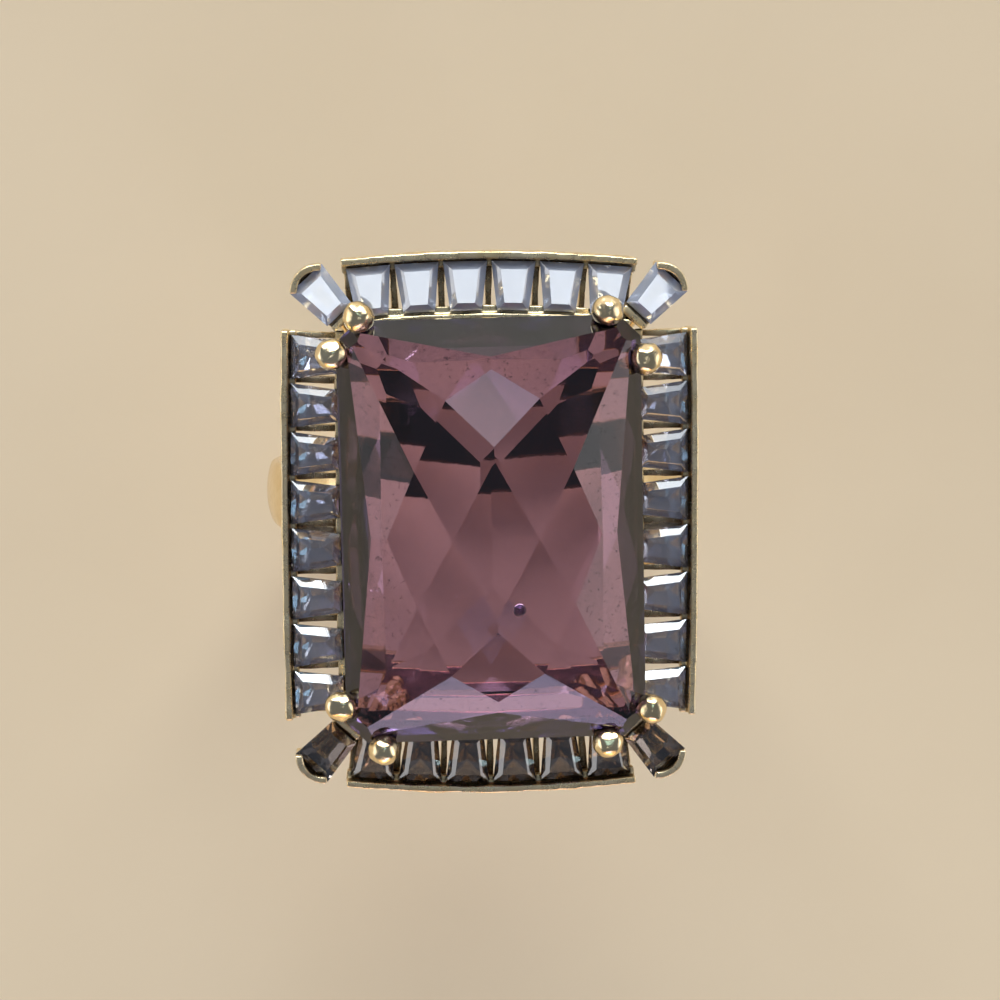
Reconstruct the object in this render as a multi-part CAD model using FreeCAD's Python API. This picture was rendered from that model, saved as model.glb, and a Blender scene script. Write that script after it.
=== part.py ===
"""Cocktail ring: a large rectangular checkerboard-cut stone in eight prongs, inside a halo of tapered baguettes.

Millimetres. The origin is the centre of the finger bore, +Y runs along the finger, +Z points out of the face.
"Upper" is the +Y end of the face and "left" is the -X side.
"""

import math
import os

import FreeCAD
import Part

V = FreeCAD.Vector

# Finger bore and shank
BORE_R = 8.65
SHANK_T = 1.35
SHANK_EDGE_T = 0.9
SHANK_W_TOP = 3.6
SHANK_W_BASE = 2.2
SHANK_EDGE_FILLET = 0.25

# Centre stone
STONE_X = 12.8
STONE_Y = 18.0
STONE_CORNER = 0.9
STONE_TURN = 1.0
GIRDLE_T = 0.3
CROWN_H = 3.0
TABLE_HALF_X = 1.8
TABLE_HALF_Y = 3.3
LOZENGE_FALL = 0.37
CORNER_FALL = 2.5
CORNER_SLOPE = 1.2
PAVILION_TIERS = ((0.9, 50.0), (1.6, 24.0), (3.9, 10.0))
KEEL_GAP = 2.09

# Halo outline, and how far its rails lie below the centre stone's girdle
HALO_HALF_X = 8.95
HALO_HALF_Y = 11.72
RAIL_DROP = 1.4

# Tapered baguettes
BAG_L = 2.1
BAG_W_OUT = 1.88
BAG_W_IN = 1.35
CORNER_BAG_W_OUT = 1.85
CORNER_BAG_W_IN = 1.42
BAG_GIRDLE_T = 0.12
BAG_CROWN_H = 0.3
BAG_CROWN_INSET = 0.34
BAG_PAVILION_DEG = 50.0
BAG_SINK = 0.12

# Channels that hold the baguettes
PITCH = 2.08
END_ROW_N = 6
SIDE_ROW_N = 8
END_ARC_R = 60.0
SIDE_ARC_R = 400.0
RAIL_T = 0.3
RAIL_GAP = 0.12
RAIL_H = 1.8
RAIL_OVERRUN = 0.08
INNER_RAIL_DROP = 0.3
LEDGE_T = 0.22
LEDGE_H = 0.5
BAR_T = 0.3
BAR_H = 0.55
CORNER_CAP_R = 1.2
CORNER_CAP_DEG = 50.0
CORNER_BAR_L = 1.3
CORNER_AT = (8.08, 10.9)
CORNER_DEG = 47.5

# Seat frame and base rail
SEAT_HALF_X = 6.2
SEAT_HALF_Y = 8.55
SEAT_WALL = 1.0
SEAT_H = 1.3
SEAT_CORNER_R = 0.6
BASE_HALF_X = 4.8
BASE_HALF_Y = 6.8
BASE_WALL = 1.1
BASE_H = 1.1
BASE_GAP = 0.2
BASE_CORNER_R = 1.6

# Prongs and corner struts; a bead slips along its edge, towards the corner where positive
PRONG_R = 0.38
BEAD_R = 0.66
BEAD_RISE = 0.6
BEAD_OVERHANG = 0.2
STEM_STAND_OFF = 0.42
KNEE_DROP = 0.3
KNEE_IN = 0.25
END_PRONG_X = 5.0
SIDE_PRONG_Y = 7.48
END_FOOT_X = 2.6
SIDE_FOOT_Y = 4.4
BEAD_SLIP = {
    "upper_right_end": 0.0,
    "upper_right_side": -0.3,
    "upper_left_end": 0.4,
    "upper_left_side": 0.2,
    "lower_left_end": -0.15,
    "lower_left_side": -0.2,
    "lower_right_end": -0.25,
    "lower_right_side": 0.3,
}
STRUT_R = 0.4
STRUT_FOOT_IN = 0.62

# Shoulders
SHOULDER_T = 1.7
SHOULDER_OUTER_DEG = 62.0
SHOULDER_INNER_DEG = 36.0
SHOULDER_TOP_OUT = 8.75
SHOULDER_TOP_IN = 6.5
SHOULDER_WAIST = 0.35
SHOULDER_FILLET = 0.3

# Worked out from the above
SHANK_R = BORE_R + SHANK_T
PAVILION_H = sum(run * math.tan(math.radians(deg)) for run, deg in PAVILION_TIERS)
GIRDLE_Z = SHANK_R + KEEL_GAP + PAVILION_H + GIRDLE_T / 2
RAIL_Z = GIRDLE_Z - RAIL_DROP
RAIL_BOTTOM = RAIL_Z - RAIL_H
BAG_Z = RAIL_Z - BAG_SINK - BAG_CROWN_H
BAG_START = RAIL_T + RAIL_GAP
BAG_END = BAG_START + BAG_L
BASE_Z = BORE_R + BASE_GAP
HALF_X = STONE_X / 2
HALF_Y = STONE_Y / 2
BIG = 60.0
SIGNS = ((1, 1), (-1, 1), (-1, -1), (1, -1))


def facet(solid, point, outward):
    """The solid ground flat at point, square to outward."""
    block = Part.makeBox(BIG, BIG, BIG, V(-BIG / 2, -BIG / 2, 0))
    block.Placement = FreeCAD.Placement(point, FreeCAD.Rotation(V(0, 0, 1), outward))
    return solid.cut(block)


def facet_through(solid, a, b, c):
    """The solid ground flat through three points, keeping what lies below them."""
    normal = (b - a).cross(c - a)
    if normal.z < 0:
        normal = -normal
    return facet(solid, a, normal)


def below(a, b, c, x, y):
    """The point at x, y on the plane through three points."""
    n = (b - a).cross(c - a)
    return V(x, y, a.z - (n.x * (x - a.x) + n.y * (y - a.y)) / n.z)


def crown_point(x, y):
    """A point of the lozenge facet that falls from the table towards the +X +Y corner."""
    fall = LOZENGE_FALL * (x / TABLE_HALF_X + y / TABLE_HALF_Y - 1)
    return V(x, y, GIRDLE_T / 2 + CROWN_H - fall)


def crown_planes():
    """Three points on each facet of the crown's +X +Y quarter."""
    table_x, table_y = crown_point(TABLE_HALF_X, 0), crown_point(0, TABLE_HALF_Y)
    side_knot, end_knot = crown_point(3.3, 2.85), crown_point(1.95, 5.77)
    end_start = crown_point(0, 3.87)
    side_tip = below(table_x, table_x + V(0, 1, 0), side_knot, 4.5, 0)
    end_tip = below(end_start, end_start + V(1, 0, 0), end_knot, 0, 7.0)
    corner = V(5.95, 8.45, table_x.z - CORNER_FALL)
    side_apex = below(side_tip, side_knot, corner, 5.15, 0)
    end_apex = below(end_tip, end_knot, corner, 0, 7.5)
    side_edge, end_edge = V(HALF_X, 0, GIRDLE_T / 2), V(0, HALF_Y, GIRDLE_T / 2)
    return (
        (table_x, table_y, side_knot),
        (table_x, table_x + V(0, 1, 0), side_knot),
        (end_start, end_start + V(1, 0, 0), end_knot),
        (side_knot, end_knot, corner),
        (side_tip, side_knot, corner),
        (end_tip, end_knot, corner),
        (side_apex, side_edge, side_edge + V(0, 1, 0)),
        (end_apex, end_edge, end_edge + V(1, 0, 0)),
    )


def cut_crown(stone):
    """Checkerboard crown: a level table lozenge, lozenges falling away from it, kites to the corners."""
    stone = facet(stone, V(0, 0, GIRDLE_T / 2 + CROWN_H), V(0, 0, 1))
    for sx, sy in SIGNS:
        for plane in crown_planes():
            stone = facet_through(stone, *(V(p.x * sx, p.y * sy, p.z) for p in plane))
        bevel = V(sx * (HALF_X - STONE_CORNER / 2), sy * (HALF_Y - STONE_CORNER / 2), GIRDLE_T / 2)
        stone = facet(stone, bevel, V(sx, sy, math.sqrt(2) / CORNER_SLOPE))
    return stone


def cut_pavilion(stone):
    """Step-cut pavilion: each tier is flatter than the one above, down to a keel along Y."""
    depth = -GIRDLE_T / 2
    inset = 0.0
    for run, deg in PAVILION_TIERS:
        slope = math.tan(math.radians(deg))
        x, y = HALF_X - inset, HALF_Y - inset
        for s in (1, -1):
            stone = facet(stone, V(s * x, 0, depth), V(s * slope, 0, -1))
            stone = facet(stone, V(0, s * y, depth), V(0, s * slope, -1))
        for sx, sy in SIGNS:
            corner = V(sx * (x - STONE_CORNER / 2), sy * (y - STONE_CORNER / 2), depth)
            stone = facet(stone, corner, V(sx * slope, sy * slope, -math.sqrt(2)))
        depth -= run * slope
        inset += run
    return stone


def centre_stone():
    stone = Part.makeBox(STONE_X, STONE_Y, 20, V(-HALF_X, -HALF_Y, -10))
    for sx, sy in SIGNS:
        corner = V(sx * (HALF_X - STONE_CORNER / 2), sy * (HALF_Y - STONE_CORNER / 2), 0)
        stone = facet(stone, corner, V(sx, sy, 0))
    stone = cut_pavilion(cut_crown(stone))
    stone.rotate(V(0, 0, 0), V(0, 0, 1), STONE_TURN)
    stone.translate(V(0, 0, GIRDLE_Z))
    return stone


def baguette(outer_w, inner_w):
    """A tapered step-cut stone lying inwards from the origin, with the top of its girdle at z = 0."""
    stone = Part.makeBox(outer_w, BAG_L, 4, V(-outer_w / 2, -BAG_L, -3))
    slope = math.tan(math.radians(BAG_PAVILION_DEG))
    pitch = BAG_CROWN_INSET / BAG_CROWN_H
    taper = V(BAG_L, (inner_w - outer_w) / 2, 0).normalize()
    sides = [(V(outer_w / 2, 0, 0), taper), (V(-outer_w / 2, 0, 0), V(-taper.x, taper.y, 0))]
    sides += [(V(0, 0, 0), V(0, 1, 0)), (V(0, -BAG_L, 0), V(0, -1, 0))]
    stone = facet(stone, V(0, 0, BAG_CROWN_H), V(0, 0, 1))
    for point, outward in sides:
        stone = facet(stone, point, outward)
        stone = facet(stone, point, outward + V(0, 0, pitch))
        stone = facet(stone, point - V(0, 0, BAG_GIRDLE_T), outward * slope - V(0, 0, 1))
    return stone


def stand(shape, at, deg):
    """A copy of a shape drawn with its outward side along +Y, turned to face deg and moved to at."""
    turned = shape.copy()
    turned.rotate(V(0, 0, 0), V(0, 0, 1), deg - 90)
    turned.translate(V(at[0], at[1], 0))
    return turned


def arc_band(radius, start, end, half_l, z, height):
    """A curved bar between two depths inside an arc whose crest is at the origin."""
    half = half_l / radius

    def spot(depth, angle):
        reach = radius - depth
        return V(reach * math.sin(angle), reach * math.cos(angle) - radius, z)

    edges = [
        Part.Arc(spot(start, -half), spot(start, 0), spot(start, half)).toShape(),
        Part.makeLine(spot(start, half), spot(end, half)),
        Part.Arc(spot(end, half), spot(end, 0), spot(end, -half)).toShape(),
        Part.makeLine(spot(end, -half), spot(start, -half)),
    ]
    return Part.Face(Part.Wire(edges)).extrude(V(0, 0, height))


def around_arc(shape, radius, slot):
    """The shape moved slot pitches along the arc, clockwise as seen from above."""
    moved = shape.copy()
    moved.rotate(V(0, -radius, 0), V(0, 0, 1), -math.degrees(slot * PITCH / radius))
    return moved


def row_slots(count):
    return [i - (count - 1) / 2 for i in range(count)]


def row_stones(count, radius):
    stone = baguette(BAG_W_OUT, BAG_W_IN)
    stone.translate(V(0, -BAG_START, BAG_Z))
    return [around_arc(stone, radius, slot) for slot in row_slots(count)]


def row_channel(count, radius, depth):
    """Outer rail, inner rail, a ledge along each and a low bar under every gap: open at the back."""
    half_l = count * PITCH / 2 + RAIL_OVERRUN
    inner = BAG_END + RAIL_GAP
    ledge_z = BAG_Z - BAG_GIRDLE_T - LEDGE_H
    channel = arc_band(radius, 0, RAIL_T, half_l, RAIL_BOTTOM, RAIL_H)
    channel = channel.fuse(arc_band(radius, inner, depth + 1, half_l, RAIL_BOTTOM, RAIL_H - INNER_RAIL_DROP))
    channel = channel.fuse(arc_band(radius, RAIL_T / 2, BAG_START + LEDGE_T, half_l, ledge_z, LEDGE_H))
    channel = channel.fuse(arc_band(radius, BAG_END - LEDGE_T, inner + 0.05, half_l, ledge_z, LEDGE_H))
    bar = Part.makeBox(BAR_T, inner, BAR_H, V(-BAR_T / 2, -inner - 0.05, RAIL_BOTTOM))
    for slot in row_slots(count + 1):
        reach = slot - math.copysign(BAR_T / 2 / PITCH, slot) if abs(slot) == count / 2 else slot
        channel = channel.fuse(around_arc(bar, radius, reach))
    return facet(channel, V(0, -depth, 0), V(0, -1, 0)).removeSplitter()


def corner_channel():
    """Round cap outside, straight bar inside and a keel bar below that joins them."""
    half_l = CORNER_CAP_R * math.radians(CORNER_CAP_DEG)
    channel = arc_band(CORNER_CAP_R, 0, RAIL_T, half_l, RAIL_BOTTOM, RAIL_H)
    inner = BAG_END + RAIL_GAP
    width = CORNER_BAR_L
    channel = channel.fuse(
        Part.makeBox(width, RAIL_T, RAIL_H - INNER_RAIL_DROP, V(-width / 2, -inner - RAIL_T, RAIL_BOTTOM)))
    ledge_z = BAG_Z - BAG_GIRDLE_T - LEDGE_H
    for start in (RAIL_T / 2, BAG_END - LEDGE_T):
        run = BAG_START + LEDGE_T - RAIL_T / 2
        channel = channel.fuse(Part.makeBox(width, run, LEDGE_H, V(-width / 2, -start - run, ledge_z)))
    bar = Part.makeBox(2 * BAR_T, inner + RAIL_T, BAR_H, V(-BAR_T, -inner - RAIL_T, RAIL_BOTTOM))
    return channel.fuse(bar).removeSplitter()


def rod(start, end, radius):
    return Part.makeCylinder(radius, (end - start).Length, start, end - start)


def wire(points, radius):
    """A round wire through the points, with ball joints."""
    shape = Part.makeSphere(radius, points[0])
    for start, end in zip(points, points[1:]):
        shape = shape.fuse(rod(start, end, radius)).fuse(Part.makeSphere(radius, end))
    return shape


def prong(foot, knee, outward, edge):
    """A basket wire from the base rail, out past the girdle at edge, ending in a bead over the crown."""
    turn = FreeCAD.Rotation(V(0, 0, 1), STONE_TURN)
    girdle = turn.multVec(edge + outward * STEM_STAND_OFF) + V(0, 0, GIRDLE_Z)
    bead = turn.multVec(edge + outward * BEAD_OVERHANG) + V(0, 0, GIRDLE_Z + BEAD_RISE)
    return wire([foot, knee, girdle, bead], PRONG_R).fuse(Part.makeSphere(BEAD_R, bead))


def end_prong(sx, sy, slip):
    foot = V(sx * END_FOOT_X, sy * (BASE_HALF_Y - BASE_WALL / 2), BASE_Z + BASE_H * 0.6)
    knee = V(sx * END_PRONG_X, sy * (SEAT_HALF_Y - KNEE_IN), RAIL_Z - KNEE_DROP)
    return prong(foot, knee, V(0, sy, 0), V(sx * (END_PRONG_X + slip), sy * HALF_Y, 0))


def side_prong(sx, sy, slip):
    foot = V(sx * (BASE_HALF_X - BASE_WALL / 2), sy * SIDE_FOOT_Y, BASE_Z + BASE_H * 0.6)
    knee = V(sx * (SEAT_HALF_X - KNEE_IN), sy * SIDE_PRONG_Y, RAIL_Z - KNEE_DROP)
    return prong(foot, knee, V(sx, 0, 0), V(sx * HALF_X, sy * (SIDE_PRONG_Y + slip), 0))


def frame(half_x, half_y, wall, z, height, corner_r):
    """A rectangular ring with rounded outer corners."""
    outer = Part.makeBox(2 * half_x, 2 * half_y, height, V(-half_x, -half_y, z))
    upright = [e for e in outer.Edges if abs(e.tangentAt(e.FirstParameter).z) > 0.9]
    outer = outer.makeFillet(corner_r, upright)
    x, y = half_x - wall, half_y - wall
    return outer.cut(Part.makeBox(2 * x, 2 * y, height, V(-x, -y, z)))


def shank():
    """Half-round band about the finger, wider towards the head and open right under the stone."""
    half = SHANK_W_TOP / 2
    edge_r = BORE_R + SHANK_EDGE_T
    profile = Part.Wire([
        Part.makeLine(V(BORE_R, -half, 0), V(edge_r, -half, 0)),
        Part.Arc(V(edge_r, -half, 0), V(SHANK_R, 0, 0), V(edge_r, half, 0)).toShape(),
        Part.makeLine(V(edge_r, half, 0), V(BORE_R, half, 0)),
        Part.makeLine(V(BORE_R, half, 0), V(BORE_R, -half, 0)),
    ])
    band = Part.Face(profile).revolve(V(0, 0, 0), V(0, 1, 0), 360)
    lean = (SHANK_W_TOP - SHANK_W_BASE) / 2 / (2 * SHANK_R)
    for s in (1, -1):
        band = facet(band, V(0, s * SHANK_W_BASE / 2, -SHANK_R), V(0, s, -lean))
    band = band.makeFillet(SHANK_EDGE_FILLET, band.Edges)
    half = BASE_HALF_X - BASE_WALL
    return band.cut(Part.makeBox(2 * half, BIG, SHANK_R, V(-half, -BIG / 2, 0)))


def shoulder(side):
    """A horn that rises from the shank to the underside of the side channel."""
    outer_rad, inner_rad = math.radians(SHOULDER_OUTER_DEG), math.radians(SHOULDER_INNER_DEG)
    root = SHANK_R - SHANK_T / 2

    def on_shank(angle):
        return V(root * math.sin(angle), 0, root * math.cos(angle))

    low_out, low_in = on_shank(outer_rad), on_shank(inner_rad)
    top_out, top_in = V(SHOULDER_TOP_OUT, 0, RAIL_BOTTOM), V(SHOULDER_TOP_IN, 0, RAIL_BOTTOM)
    mid_out = (low_out + top_out) * 0.5 - V(SHOULDER_WAIST, 0, 0)
    mid_in = (low_in + top_in) * 0.5 + V(SHOULDER_WAIST * 2, 0, -SHOULDER_WAIST)
    outline = Part.Wire([
        Part.Arc(low_out, mid_out, top_out).toShape(),
        Part.makeLine(top_out, top_in),
        Part.Arc(top_in, mid_in, low_in).toShape(),
        Part.makeLine(low_in, low_out),
    ])
    blade = Part.Face(outline).extrude(V(0, SHOULDER_T, 0))
    blade.translate(V(0, -SHOULDER_T / 2, 0))
    curved = [edge for edge in blade.Edges if edge.Curve.TypeId == "Part::GeomCircle"]
    blade = blade.makeFillet(SHOULDER_FILLET, curved)
    if side < 0:
        blade.rotate(V(0, 0, 0), V(0, 0, 1), 180)
    return blade


def corner_strut(sx, sy):
    """A wire from the base rail's corner out to the keel bar of the corner channel."""
    foot = V(sx * (BASE_HALF_X - STRUT_FOOT_IN), sy * (BASE_HALF_Y - STRUT_FOOT_IN), BASE_Z + BASE_H * 0.6)
    inward = (BAG_START + BAG_END) / 2
    direction = math.radians(CORNER_DEG)
    top = V(sx * (CORNER_AT[0] - inward * math.cos(direction)),
            sy * (CORNER_AT[1] - inward * math.sin(direction)), RAIL_BOTTOM - STRUT_R / 4)
    return wire([foot, top], STRUT_R)


def rows():
    """Name, number of stones, arc radius, depth to the seat frame, place and facing of each straight channel."""
    end_depth, side_depth = HALO_HALF_Y - SEAT_HALF_Y, HALO_HALF_X - SEAT_HALF_X
    return (
        ("upper", END_ROW_N, END_ARC_R, end_depth, (0, HALO_HALF_Y), 90),
        ("right", SIDE_ROW_N, SIDE_ARC_R, side_depth, (HALO_HALF_X, 0), 0),
        ("lower", END_ROW_N, END_ARC_R, end_depth, (0, -HALO_HALF_Y), -90),
        ("left", SIDE_ROW_N, SIDE_ARC_R, side_depth, (-HALO_HALF_X, 0), 180),
    )


def corner_places():
    """Name, place and facing of each corner channel."""
    names = ("upper_right", "upper_left", "lower_left", "lower_right")
    rad = math.radians(CORNER_DEG)
    for name, (sx, sy) in zip(names, SIGNS):
        facing = math.degrees(math.atan2(sy * math.sin(rad), sx * math.cos(rad)))
        yield name, (sx, sy), (sx * CORNER_AT[0], sy * CORNER_AT[1]), facing


def cut_by(shape, others):
    """The shape with room made for every neighbour that it meets."""
    for other in others:
        if shape.BoundBox.intersect(other.BoundBox):
            shape = shape.cut(other)
    return shape


def build():
    nodes = {"shank": shank(), "centre_stone": centre_stone()}
    base = frame(BASE_HALF_X, BASE_HALF_Y, BASE_WALL, BASE_Z, BASE_H, BASE_CORNER_R)
    nodes["base_rail"] = base.cut(nodes["shank"])
    prongs = {}
    for name, (sx, sy), _, _ in corner_places():
        for kind, make in (("end", end_prong), ("side", side_prong)):
            wire_shape = make(sx, sy, BEAD_SLIP[f"{name}_{kind}"])
            prongs[f"prong_{name}_{kind}"] = cut_by(wire_shape, [nodes["centre_stone"], base])
    nodes.update(prongs)
    seat_z = RAIL_Z - INNER_RAIL_DROP - SEAT_H
    seat = frame(SEAT_HALF_X, SEAT_HALF_Y, SEAT_WALL, seat_z, SEAT_H, SEAT_CORNER_R)
    nodes["seat_frame"] = cut_by(seat, [nodes["centre_stone"], *prongs.values()])
    stones = {}
    channels = {}
    for name, count, radius, depth, at, facing in rows():
        for number, stone in enumerate(row_stones(count, radius), 1):
            stones[f"baguette_{name}_{number}"] = stand(stone, at, facing)
        channels[f"channel_{name}"] = stand(row_channel(count, radius, depth), at, facing)
    struts = {}
    for name, (sx, sy), at, facing in corner_places():
        stone = baguette(CORNER_BAG_W_OUT, CORNER_BAG_W_IN)
        stone.translate(V(0, -BAG_START, BAG_Z))
        stones[f"baguette_{name}"] = stand(stone, at, facing)
        channels[f"channel_{name}"] = stand(corner_channel(), at, facing)
        struts[f"strut_{name}"] = corner_strut(sx, sy)
    nodes.update(stones)
    straight = [channels[f"channel_{name}"] for name, *_ in rows()]
    for name, channel in channels.items():
        others = [] if channel in straight else straight
        nodes[name] = cut_by(channel, [*stones.values(), *prongs.values(), *others])
    for name, strut in struts.items():
        neighbours = [base, nodes["seat_frame"], nodes[name.replace("strut", "channel")]]
        nodes[name] = cut_by(strut, [*neighbours, *prongs.values(), *stones.values()])
    for name, side in (("shoulder_right", 1), ("shoulder_left", -1)):
        nodes[name] = cut_by(shoulder(side), [nodes["shank"], nodes["base_rail"]])
    return nodes


def main():
    os.makedirs("parts", exist_ok=True)
    for name, shape in build().items():
        solids = shape.Solids
        print(name, len(solids), shape.isValid(), round(shape.Volume, 3))
        shape = solids[0] if len(solids) == 1 else shape
        shape.exportStep(f"parts/{name}.step")


main()
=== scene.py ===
"""Looks of the cocktail ring: materials, hand-finished metal, soft light and the photograph's viewpoint.

Metres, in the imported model's frame: +X across the face, +Y along the finger, +Z out of the face.
"""

import math

import bmesh
import bpy
from mathutils import Matrix, Vector, noise


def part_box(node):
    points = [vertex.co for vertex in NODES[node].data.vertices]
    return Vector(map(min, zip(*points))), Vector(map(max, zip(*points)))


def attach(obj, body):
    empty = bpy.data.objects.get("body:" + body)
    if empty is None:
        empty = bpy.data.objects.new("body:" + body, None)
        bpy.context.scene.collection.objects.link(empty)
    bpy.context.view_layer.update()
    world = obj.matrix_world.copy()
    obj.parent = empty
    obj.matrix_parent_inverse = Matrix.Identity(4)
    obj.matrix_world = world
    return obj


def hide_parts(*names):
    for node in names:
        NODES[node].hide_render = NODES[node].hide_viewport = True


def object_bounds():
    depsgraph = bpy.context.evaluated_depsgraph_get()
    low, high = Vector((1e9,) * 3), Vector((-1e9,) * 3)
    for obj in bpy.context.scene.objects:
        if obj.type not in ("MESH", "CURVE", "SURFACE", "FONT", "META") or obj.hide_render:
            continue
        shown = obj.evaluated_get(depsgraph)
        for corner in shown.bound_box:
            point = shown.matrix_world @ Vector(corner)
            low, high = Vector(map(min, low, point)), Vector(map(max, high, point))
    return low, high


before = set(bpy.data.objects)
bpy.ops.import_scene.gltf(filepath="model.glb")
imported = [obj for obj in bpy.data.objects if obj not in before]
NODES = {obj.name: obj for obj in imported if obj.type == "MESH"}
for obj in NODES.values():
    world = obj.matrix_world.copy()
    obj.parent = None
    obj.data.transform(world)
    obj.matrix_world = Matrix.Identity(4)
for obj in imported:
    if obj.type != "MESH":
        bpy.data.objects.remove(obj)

MM = 0.001
CAD_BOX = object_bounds()
SCENE = bpy.context.scene


# ---------------------------------------------------------------- materials

def node_tools(tree):
    """Empties a node tree and gives the functions that add and join nodes in it."""
    tree.nodes.clear()

    def add(kind, **sockets):
        node = tree.nodes.new(kind)
        for key, value in sockets.items():
            node.inputs[key.replace("_", " ")].default_value = value
        return node

    def link(start, end):
        tree.links.new(start, end)

    return add, link


def new_material(name):
    material = bpy.data.materials.new(name)
    material.use_nodes = True
    add, link = node_tools(material.node_tree)
    return material, add, link


def mottle(add, link, scale, detail=4.0, roughness=0.55):
    """Noise over the piece's own coordinates; scale is in grains per millimetre."""
    place = add("ShaderNodeTexCoord")
    grain = add("ShaderNodeTexNoise", Scale=scale / MM, Detail=detail, Roughness=roughness)
    link(place.outputs["Object"], grain.inputs["Vector"])
    return grain.outputs["Fac"]


def ramp(add, link, fac, stops):
    """A colour ramp from (position, colour) stops."""
    node = add("ShaderNodeValToRGB")
    elements = node.color_ramp.elements
    while len(elements) < len(stops):
        elements.new(0.5)
    for element, (position, colour) in zip(elements, stops):
        element.position = position
        element.color = (*colour, 1.0)
    link(fac, node.inputs["Fac"])
    return node.outputs["Color"]


def blend(add, link, kind, first, second):
    """Two colours joined by a blend mode."""
    node = add("ShaderNodeMix")
    node.data_type = "RGBA"
    node.blend_type = kind
    node.inputs["Factor"].default_value = 1.0
    link(first, node.inputs[6])
    link(second, node.inputs[7])
    return node.outputs[2]


def grey(value):
    return (value, value, value)


def bump(add, link, height, strength, depth_mm):
    node = add("ShaderNodeBump", Strength=strength, Distance=depth_mm * MM)
    link(height, node.inputs["Height"])
    return node.outputs["Normal"]


def bore_shade(add, link, radius_mm):
    """Painted shade: dark within radius_mm of the finger bore's axis, and plain outside it."""
    place = add("ShaderNodeTexCoord")
    across = add("ShaderNodeVectorMath")
    across.operation = "MULTIPLY"
    across.inputs[1].default_value = (1, 0, 1)
    link(place.outputs["Object"], across.inputs[0])
    radius = add("ShaderNodeVectorMath")
    radius.operation = "LENGTH"
    link(across.outputs["Vector"], radius.inputs[0])
    inner = (radius_mm - BORE_SHADE_FADE) * MM
    outer = (radius_mm + BORE_SHADE_FADE) * MM
    level = add("ShaderNodeMapRange", From_Min=inner, From_Max=outer)
    link(radius.outputs["Value"], level.inputs["Value"])
    return ramp(add, link, level.outputs["Result"], ((0.0, PAINTED_SHADE), (1.0, grey(1.0))))


def gold_material(name, polish, pit_depth, unshaded_from=0.5, dark_within=None):
    """Yellow gold: polished where it is touched, with fine pits, and painted shade in the recesses.

    Painted shade darkens the recesses below the openness unshaded_from. Within dark_within (mm) of the finger
    bore's axis, when given, painted shade darkens the metal too."""
    material, add, link = new_material(name)
    shader = add("ShaderNodeBsdfPrincipled", Metallic=1.0)
    tone = ramp(add, link, mottle(add, link, 0.9), ((0.35, GOLD_DARK), (0.65, GOLD_LIGHT)))
    # Painted shade: ambient occlusion darkens the colour in the recesses, near black in the deepest.
    recess = add("ShaderNodeAmbientOcclusion", Distance=RECESS_REACH * MM)
    recess.samples = 8
    recess_shade = ramp(add, link, recess.outputs["AO"], ((0.2, PAINTED_SHADE), (unshaded_from, grey(1.0))))
    colour = blend(add, link, "MULTIPLY", tone, recess_shade)
    # Painted shade inside the finger bore, when dark_within is given.
    if dark_within is not None:
        colour = blend(add, link, "MULTIPLY", colour, bore_shade(add, link, dark_within))
    link(colour, shader.inputs["Base Color"])
    scuffs = ((0.3, grey(polish)), (0.75, grey(polish + SCUFF)))
    link(ramp(add, link, mottle(add, link, 3.0), scuffs), shader.inputs["Roughness"])
    pits = mottle(add, link, 5.0, detail=6.0, roughness=0.7)
    link(bump(add, link, pits, 0.5, pit_depth), shader.inputs["Normal"])
    out = add("ShaderNodeOutputMaterial")
    link(shader.outputs["BSDF"], out.inputs["Surface"])
    return material


def facet_level(add, link):
    """1 on a level facet, down to 0 on an upright one."""
    geometry = add("ShaderNodeNewGeometry")
    split = add("ShaderNodeSeparateXYZ")
    link(geometry.outputs["True Normal"], split.inputs["Vector"])
    level = add("ShaderNodeMath")
    level.operation = "ABSOLUTE"
    link(split.outputs["Z"], level.inputs[0])
    return level.outputs["Value"]


def dust(add, link, level):
    """Dark specks that cling to the facets just above the girdle ones."""
    grains = mottle(add, link, 4.0, detail=8.0, roughness=0.8)
    specks = ramp(add, link, grains, ((0.56, grey(1.0)), (0.62, grey(0.2))))
    elsewhere = ramp(add, link, level, (
        (0.80, grey(1.0)), (0.84, grey(0.0)), (0.900, grey(0.0)), (0.915, grey(1.0))))
    return blend(add, link, "LIGHTEN", specks, elsewhere)


def with_shadow(add, link, surface, tint, shadow):
    """The surface for seeing, and a tinted clear one for the light that casts shadows through the stone."""
    see_through = add("ShaderNodeBsdfTransparent")
    see_through.inputs["Color"].default_value = (*[c * shadow for c in tint], 1.0)
    path = add("ShaderNodeLightPath")
    mix = add("ShaderNodeMixShader")
    link(path.outputs["Is Shadow Ray"], mix.inputs["Fac"])
    link(surface, mix.inputs[1])
    link(see_through.outputs["BSDF"], mix.inputs[2])
    return mix.outputs["Shader"]


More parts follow.
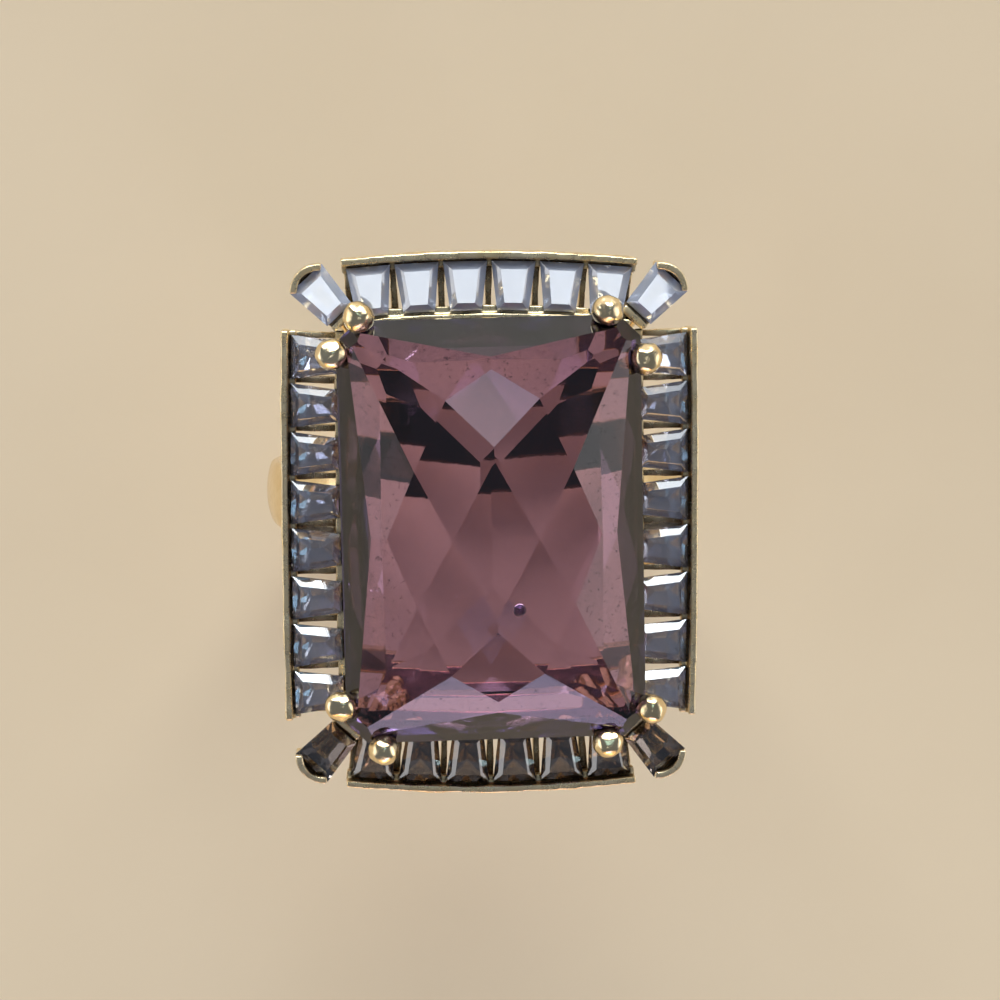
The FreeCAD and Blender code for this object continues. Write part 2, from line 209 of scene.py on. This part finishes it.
def gem_material(name, tint, steep_facet_shade, ior, mark_depth, shadow, gloss=0.5, coat=0.0, milk=0.0,
                 dusty=False):
    """Faceted stone with faint polishing marks, which lets some light through to what lies below.

    Facets steeper than about 45 degrees take the painted shade steep_facet_shade and lose most of their
    gloss. Milk is the share of the light that the stone scatters."""
    material, add, link = new_material(name)
    shader = add("ShaderNodeBsdfPrincipled", IOR=ior)
    shader.inputs["Transmission Weight"].default_value = 1.0 - milk
    shader.inputs["Coat Weight"].default_value = coat
    shader.inputs["Coat IOR"].default_value = COAT_IOR
    shader.inputs["Coat Roughness"].default_value = COAT_ROUGHNESS
    zone = ramp(add, link, mottle(add, link, 0.18), ((0.35, [c * 0.86 for c in tint]), (0.65, tint)))
    level = facet_level(add, link)
    # Painted shade: the steeper the facet, the darker its colour.
    edge = ramp(add, link, level, ((STEEP, steep_facet_shade), (SHALLOW, grey(1.0))))
    shine = ramp(add, link, level, ((STEEP, grey(gloss * EDGE_GLOSS)), (SHALLOW, grey(gloss))))
    link(shine, shader.inputs["Specular IOR Level"])
    if dusty:
        zone = blend(add, link, "MULTIPLY", zone, dust(add, link, level))
    link(blend(add, link, "MULTIPLY", zone, edge), shader.inputs["Base Color"])
    smear = ramp(add, link, mottle(add, link, 0.8), ((0.45, grey(0.0)), (0.8, grey(0.03))))
    link(smear, shader.inputs["Roughness"])
    marks = mottle(add, link, 2.5, detail=5.0)
    link(bump(add, link, marks, 0.3, mark_depth), shader.inputs["Normal"])
    out = add("ShaderNodeOutputMaterial")
    link(with_shadow(add, link, shader.outputs["BSDF"], tint, shadow), out.inputs["Surface"])
    return material


def floor_material():
    material, add, link = new_material("pale_floor")
    shader = add("ShaderNodeBsdfPrincipled", Roughness=0.55)
    tone = ramp(add, link, mottle(add, link, 0.02), ((0.3, FLOOR_DARK), (0.7, FLOOR_LIGHT)))
    link(tone, shader.inputs["Base Color"])
    out = add("ShaderNodeOutputMaterial")
    link(shader.outputs["BSDF"], out.inputs["Surface"])
    return material


GOLD_LIGHT = (0.94, 0.78, 0.50)
GOLD_DARK = (0.86, 0.66, 0.36)
# Painted shade: the near-black that recesses and the finger bore are darkened towards, and the reach in mm of
# the occlusion that finds recesses.
PAINTED_SHADE = (0.045, 0.03, 0.018)
RECESS_REACH = 0.9
# Width in mm of the edge of the painted shade at the finger bore.
BORE_SHADE_FADE = 0.1
SCUFF = 0.16
FLOOR_DARK = (0.86, 0.68, 0.45)
FLOOR_LIGHT = (0.93, 0.75, 0.51)
COAT_IOR = 2.2
COAT_ROUGHNESS = 0.02
# Facets less level than STEEP get the full painted shade, which fades out by SHALLOW.
STEEP = 0.70
SHALLOW = 0.78
EDGE_GLOSS = 0.25
# Radius in mm within which the shank's inside gets painted shade.
BORE_DARK_R = 8.95

# Every gold gets painted shade in its recesses, and the shank's gold also gets it in the finger bore.
BEAD_GOLD = gold_material("bead_gold", polish=0.07, pit_depth=0.02)
RAIL_GOLD = gold_material("rail_gold", polish=0.22, pit_depth=0.05, unshaded_from=0.7)
# The shank's gold gets painted shade inside the finger bore.
SHANK_GOLD = gold_material("shank_gold", polish=0.10, pit_depth=0.015, dark_within=BORE_DARK_R)
SEAT_GOLD = gold_material("seat_gold", polish=0.2, pit_depth=0.12, unshaded_from=0.8)

# The clear stones' steep facets get a grey painted shade.
CLEAR_BODY = {"steep_facet_shade": (0.6, 0.62, 0.7), "ior": 1.5, "mark_depth": 0.004}
# The purple stone's steep facets get a near-black painted shade.
PURPLE = gem_material(
    "purple_stone", tint=(0.41, 0.235, 0.36), steep_facet_shade=(0.03, 0.035, 0.07), ior=1.6, mark_depth=0.003,
    shadow=0.5, gloss=0.3, dusty=True)
# The bubble's steep walls get a grey painted shade.
BUBBLE = gem_material(
    "bubble_wall", tint=(0.30, 0.22, 0.50), steep_facet_shade=grey(0.5), ior=1.6, mark_depth=0.001, shadow=0.5)
# Lit and shaded copies of one clear stone: the upper row is painted light with a pale tint and milk, the side
# rows a greyer painted shade, and the lower row a dark brown painted shade and painted reflection of the warm
# floor.
CLEAR_UPPER_LIT = gem_material(
    "clear_stone_upper_lit", tint=(0.86, 0.90, 1.0), shadow=0.6, coat=1.0, milk=0.42, **CLEAR_BODY)
CLEAR_SIDE_SHADED = gem_material(
    "clear_stone_side_shaded", tint=(0.66, 0.66, 0.74), shadow=0.35, coat=1.0, milk=0.1, **CLEAR_BODY)
CLEAR_LOWER_SHADED = gem_material(
    "clear_stone_lower_shaded", tint=(0.34, 0.27, 0.22), shadow=0.3, coat=0.6, **CLEAR_BODY)


# ---------------------------------------------------------------- hand-finished metal

# Sizes in millimetres.
LOBED_PRONG = "prong_upper_left_end"
BEAD_R = 0.66
LOBE_FROM_BEAD = Vector((0.5, 0.25, 0.1))
LOBE_REACH = 1.1
LOBE_SHIFT = Vector((0.55, 0.2, -0.12))

# Each kind of metal piece: cube size, wobble, waves per millimetre, smoothing steps and material.
WEAR = {
    "prong_": (0.05, 0.10, 1.0, 3, BEAD_GOLD),
    "channel_": (0.05, 0.045, 0.8, 8, RAIL_GOLD),
    "strut_": (0.07, 0.03, 0.6, 4, SHANK_GOLD),
    "shoulder_": (0.07, 0.03, 0.6, 4, SHANK_GOLD),
    "seat_frame": (0.08, 0.03, 0.8, 4, SEAT_GOLD),
    "base_rail": (0.08, 0.03, 0.5, 4, SHANK_GOLD),
    "shank": (0.1, 0.01, 0.3, 4, SHANK_GOLD),
}


def roughen(mesh, wobble, waves_per_mm, shift):
    """Moves every point along its normal by up to about wobble, in slow waves with finer ones on them."""
    places = [vertex.co.copy() for vertex in mesh.vertices]
    normals = [item.vector.copy() for item in mesh.vertex_normals]
    moved = []
    for place, normal in zip(places, normals):
        spot = place * waves_per_mm
        wave = noise.noise(spot + shift) + 0.4 * noise.noise(spot * 2.7 + shift)
        moved.extend(place + normal * (wobble * wave))
    mesh.vertices.foreach_set("co", moved)
    mesh.update()


def pull(mesh, centre, reach, shift):
    """Moves the points within reach of centre by up to shift, like clay pulled with a finger."""
    moved = []
    for place in [vertex.co.copy() for vertex in mesh.vertices]:
        near = max(0.0, 1.0 - (place - centre).length / reach)
        moved.extend(place + shift * (near * near * (3.0 - 2.0 * near)))
    mesh.vertices.foreach_set("co", moved)
    mesh.update()


def own_shift(node):
    """Where a node's noise is read, different for each name."""
    return Vector((len(node) * 7.3, sum(map(ord, node)) * 0.37, 0.0))


def softened(piece, voxel, smooth_steps):
    """The piece's mesh rebuilt from small cubes and smoothed, as a new mesh."""
    remesh = piece.modifiers.new("remesh", "REMESH")
    remesh.mode = "VOXEL"
    remesh.voxel_size = voxel
    ease = piece.modifiers.new("ease", "SMOOTH")
    ease.factor = 0.5
    ease.iterations = smooth_steps
    done = bpy.data.meshes.new_from_object(piece.evaluated_get(bpy.context.evaluated_depsgraph_get()))
    piece.modifiers.clear()
    return done


def press_lobe(mesh):
    """Presses the upper left end bead out to the right."""
    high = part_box(LOBED_PRONG)[1]
    bead = Vector([side / MM - BEAD_R for side in high])
    pull(mesh, bead + LOBE_FROM_BEAD, LOBE_REACH, LOBE_SHIFT)


def finished(node, voxel, wobble, waves_per_mm, smooth_steps, material):
    """A piece that replaces a CAD node: the same solid with worn edges, filled corners and uneven faces."""
    mesh = NODES[node].data.copy()
    piece = bpy.data.objects.new(f"{node}_finished", mesh)
    SCENE.collection.objects.link(piece)
    mesh.transform(Matrix.Scale(1 / MM, 4))
    done = softened(piece, voxel, smooth_steps)
    piece.data = done
    bpy.data.meshes.remove(mesh)
    roughen(done, wobble, waves_per_mm, own_shift(node))
    if node == LOBED_PRONG:
        press_lobe(done)
    done.transform(Matrix.Scale(MM, 4))
    done.materials.clear()
    done.materials.append(material)
    done.polygons.foreach_set("use_smooth", [True] * len(done.polygons))
    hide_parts(node)
    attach(piece, "root")


def make_metal():
    for kind, wear in WEAR.items():
        for node in [name for name in NODES if name.startswith(kind)]:
            finished(node, *wear)


# ---------------------------------------------------------------- stones

def dress(node, material):
    """A CAD node kept as it is, with a better material."""
    mesh = NODES[node].data
    mesh.materials.clear()
    mesh.materials.append(material)


# Picks the lit copy of the clear stone for the upper row and a shaded copy for the others.
def baguette_material(node):
    if "upper" in node:
        return CLEAR_UPPER_LIT
    if "lower" in node:
        return CLEAR_LOWER_SHADED
    return CLEAR_SIDE_SHADED


def make_stones():
    for node in NODES:
        if node.startswith("baguette_"):
            dress(node, baguette_material(node))
    dress("centre_stone", PURPLE)


BUBBLE_R = 0.29
BUBBLE_AT = Vector((0.9, -3.05, 16.0))
BUBBLE_WOBBLE = 0.04


def make_bubble():
    """A slightly uneven gas bubble caught in the centre stone, with its surface facing inwards."""
    mesh = bpy.data.meshes.new("bubble")
    shape = bmesh.new()
    bmesh.ops.create_icosphere(shape, subdivisions=4, radius=BUBBLE_R)
    for vertex in shape.verts:
        vertex.co *= 1.0 + BUBBLE_WOBBLE * noise.noise(vertex.co * 3.0)
        vertex.co = (vertex.co + BUBBLE_AT) * MM
    bmesh.ops.reverse_faces(shape, faces=shape.faces)
    shape.to_mesh(mesh)
    shape.free()
    mesh.polygons.foreach_set("use_smooth", [True] * len(mesh.polygons))
    mesh.materials.append(BUBBLE)
    bubble = bpy.data.objects.new("stone_bubble", mesh)
    SCENE.collection.objects.link(bubble)
    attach(bubble, "root")


# ---------------------------------------------------------------- studio

FACE_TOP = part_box("channel_left")[1].z
CAMERA_OFFSET = Vector((-5.65, 16.03, 115.0)) * MM
CAMERA_TURN = (-7.377, -3.036, -0.185)
CAMERA_LENS = 97.6
FLOOR_HALF = 1.2
BOUNCES = 20
GLOSSY_BOUNCES = 8

# Each softbox: direction from the ring, size in metres, brightness and colour.
LIGHT_DISTANCE = 0.6
LIGHTS = {
    "window": ((0.047, 0.59, 1.0), (0.16, 0.12), 1.7, (0.45, 0.8, 1.0)),
    "violet_glow": ((0.06, -0.90, 0.40), (0.36, 0.13), 3.0, (0.45, 0.48, 1.0)),
    "lamp": ((0.0, -0.032, 1.0), (0.15, 0.026), 3.2, (0.9, 0.95, 1.0)),
}

# The surround's brightness along Y and along X, from 0 at the negative end to 1 at the positive end.
SKY_STRENGTH = 9.5
DIM = (0.015, 0.017, 0.021)
WARM_WALL = (0.24, 0.16, 0.08)
WINDOW_WALL = (0.90, 0.96, 1.0)
SIDE_WALL = grey(0.20)
ALONG_FINGER = (
    (0.03, WARM_WALL), (0.10, DIM), (0.885, DIM), (0.915, WINDOW_WALL), (0.975, WINDOW_WALL), (0.99, DIM))
ACROSS_FACE = ((0.03, SIDE_WALL), (0.09, grey(0.0)), (0.91, grey(0.0)), (0.97, SIDE_WALL))


def make_camera():
    data = bpy.data.cameras.new("camera")
    data.lens = CAMERA_LENS
    data.sensor_width = 36.0
    data.clip_start = 0.005
    camera = bpy.data.objects.new("camera", data)
    camera.location = Vector((0, 0, FACE_TOP)) + CAMERA_OFFSET
    camera.rotation_euler = [math.radians(angle) for angle in CAMERA_TURN]
    SCENE.collection.objects.link(camera)
    SCENE.camera = camera


def make_floor():
    mesh = bpy.data.meshes.new("floor")
    shape = bmesh.new()
    bmesh.ops.create_grid(shape, x_segments=8, y_segments=8, size=FLOOR_HALF)
    shape.to_mesh(mesh)
    shape.free()
    floor = bpy.data.objects.new("floor", mesh)
    floor.location.z = CAD_BOX[0].z
    mesh.materials.append(floor_material())
    SCENE.collection.objects.link(floor)


def area_light(name, direction, size, radiance, colour):
    """A softbox of the given size, facing the ring, given by its brightness as seen from there."""
    data = bpy.data.lights.new(name, "AREA")
    data.shape = "RECTANGLE"
    data.size, data.size_y = size
    data.energy = radiance * math.pi * size[0] * size[1]
    data.color = colour
    light = bpy.data.objects.new(name, data)
    light.location = Vector(direction).normalized() * LIGHT_DISTANCE
    light.rotation_euler = (-light.location).to_track_quat("-Z", "Y").to_euler()
    SCENE.collection.objects.link(light)


def wall(add, link, axis, stops):
    """Brightness of the surround along one axis, from -1 at one end to 1 at the other."""
    span = add("ShaderNodeMapRange", From_Min=-1.0)
    link(axis, span.inputs["Value"])
    return ramp(add, link, span.outputs["Result"], stops)


def make_sky():
    """Plain studio surround: a big soft window behind, a warm wall in front, dim sides, dark overhead."""
    world = bpy.data.worlds.new("studio")
    SCENE.world = world
    world.use_nodes = True
    add, link = node_tools(world.node_tree)
    place = add("ShaderNodeTexCoord")
    split = add("ShaderNodeSeparateXYZ")
    link(place.outputs["Generated"], split.inputs["Vector"])
    along = wall(add, link, split.outputs["Y"], ALONG_FINGER)
    across = wall(add, link, split.outputs["X"], ACROSS_FACE)
    background = add("ShaderNodeBackground", Strength=SKY_STRENGTH)
    link(blend(add, link, "ADD", along, across), background.inputs["Color"])
    out = add("ShaderNodeOutputWorld")
    link(background.outputs["Background"], out.inputs["Surface"])


def make_lights():
    for name, light in LIGHTS.items():
        area_light(name, *light)
    make_sky()


def set_light_paths():
    SCENE.cycles.max_bounces = BOUNCES
    SCENE.cycles.transmission_bounces = BOUNCES
    SCENE.cycles.glossy_bounces = GLOSSY_BOUNCES
    SCENE.cycles.transparent_max_bounces = BOUNCES
    SCENE.view_settings.view_transform = "Standard"


make_metal()
make_stones()
make_bubble()
make_floor()
make_camera()
make_lights()
set_light_paths()
